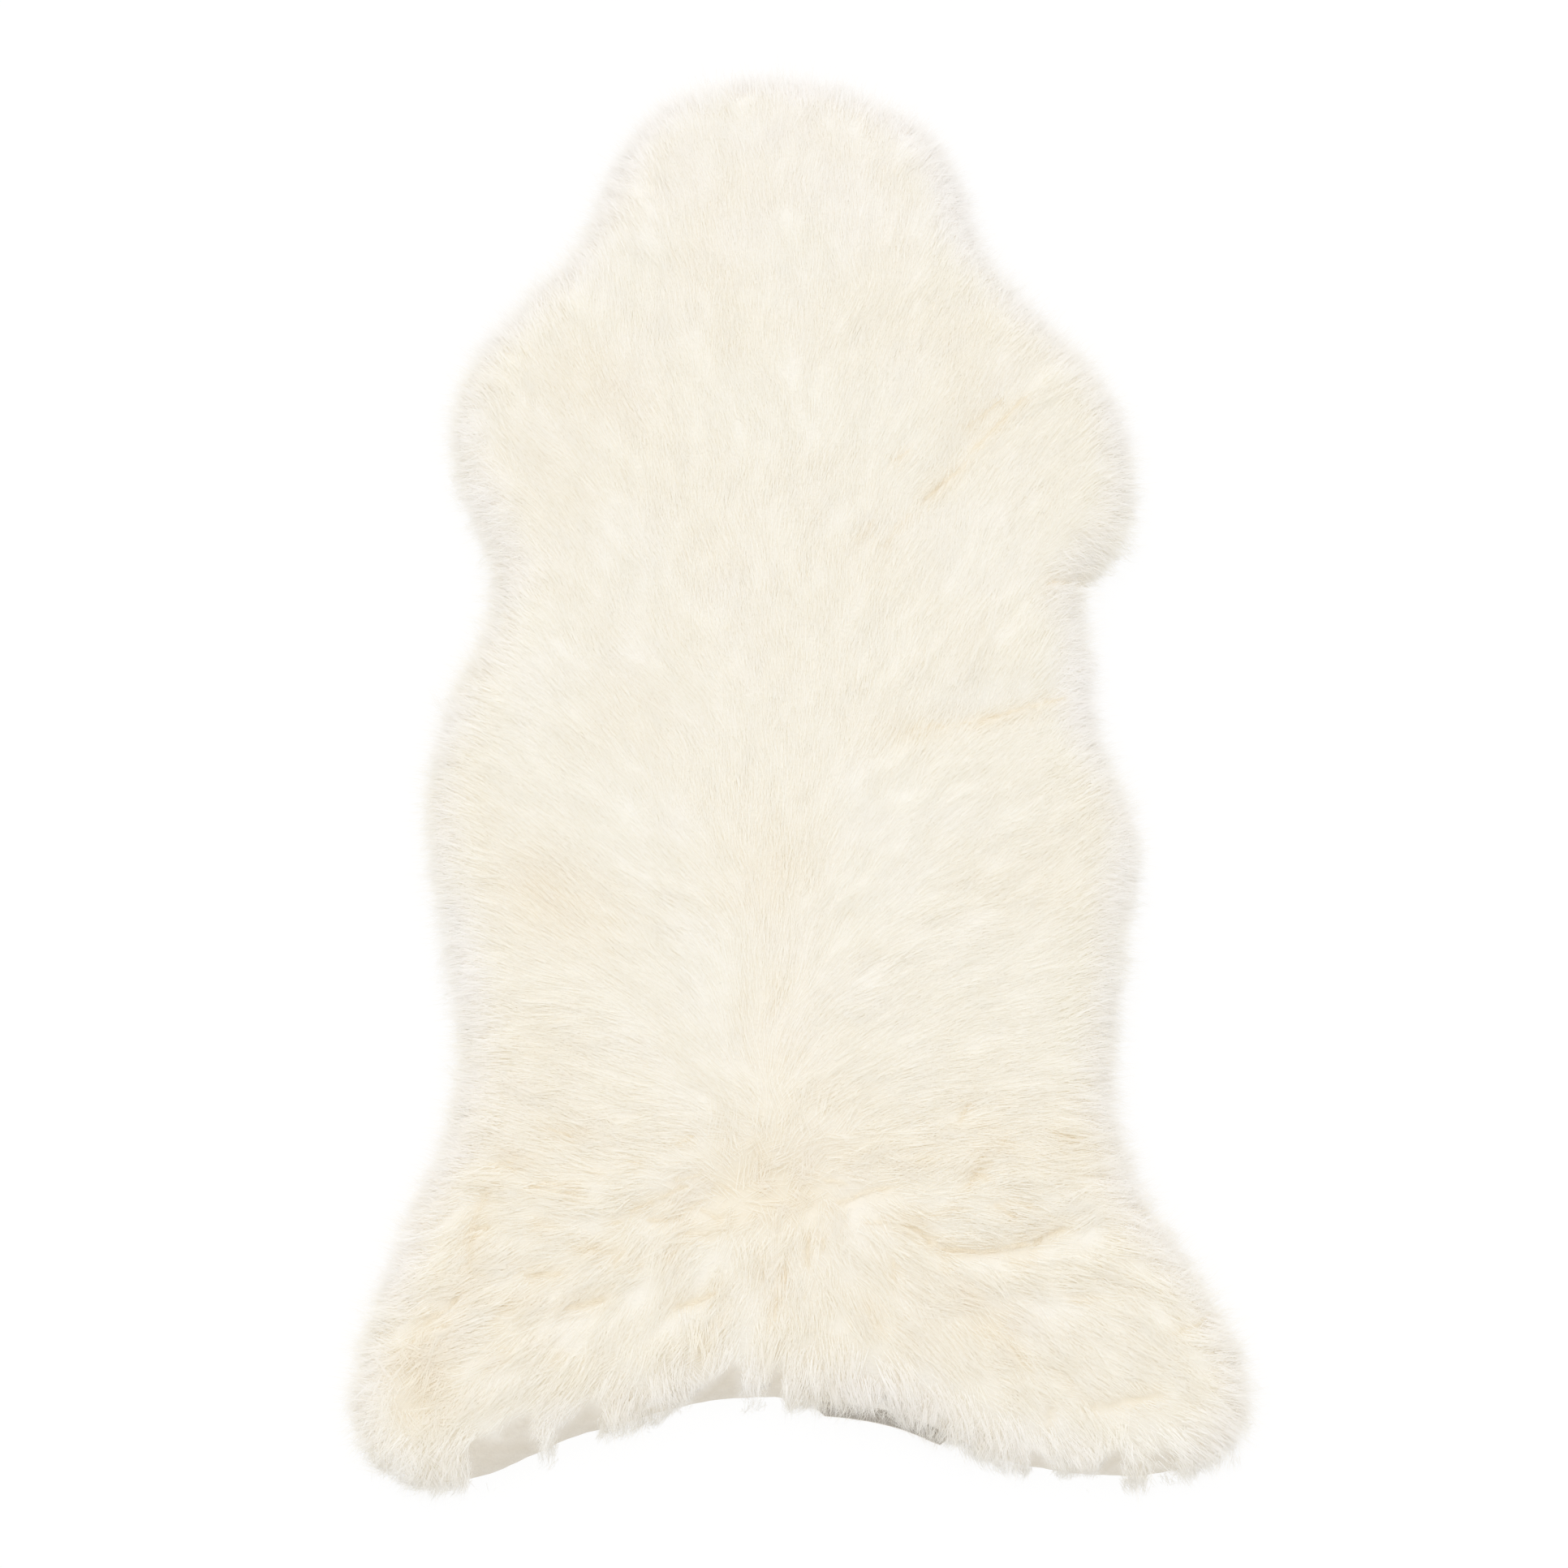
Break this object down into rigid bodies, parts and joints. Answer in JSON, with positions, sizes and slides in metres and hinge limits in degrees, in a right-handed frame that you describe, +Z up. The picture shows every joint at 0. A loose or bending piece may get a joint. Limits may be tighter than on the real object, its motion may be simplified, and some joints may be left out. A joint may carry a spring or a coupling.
{
  "type": "sheepskin rug",
  "caption": "Long-wool sheepskin rug: one ivory pelt lying flat, with a rounded neck, sloping shoulders, a narrow waist and splayed hind legs.",
  "frame": {"origin": "on the floor, under the middle of the rug's box", "axes": "+Z up out of the wool, +Y from the hind legs to the neck, +X to the right as seen from above with the neck at the top"},
  "size_m": [0.5821, 1.0488, 0.052],
  "materials": {
    "wool": "brushed long wool, ivory, matt with a faint sheen, a little yellower at the roots",
    "hide": "natural suede flesh side of the hide, off-white, fully matt"
  },
  "bodies": {
    "root": {"sheepskin": "wool"}
  },
  "joints": []
}
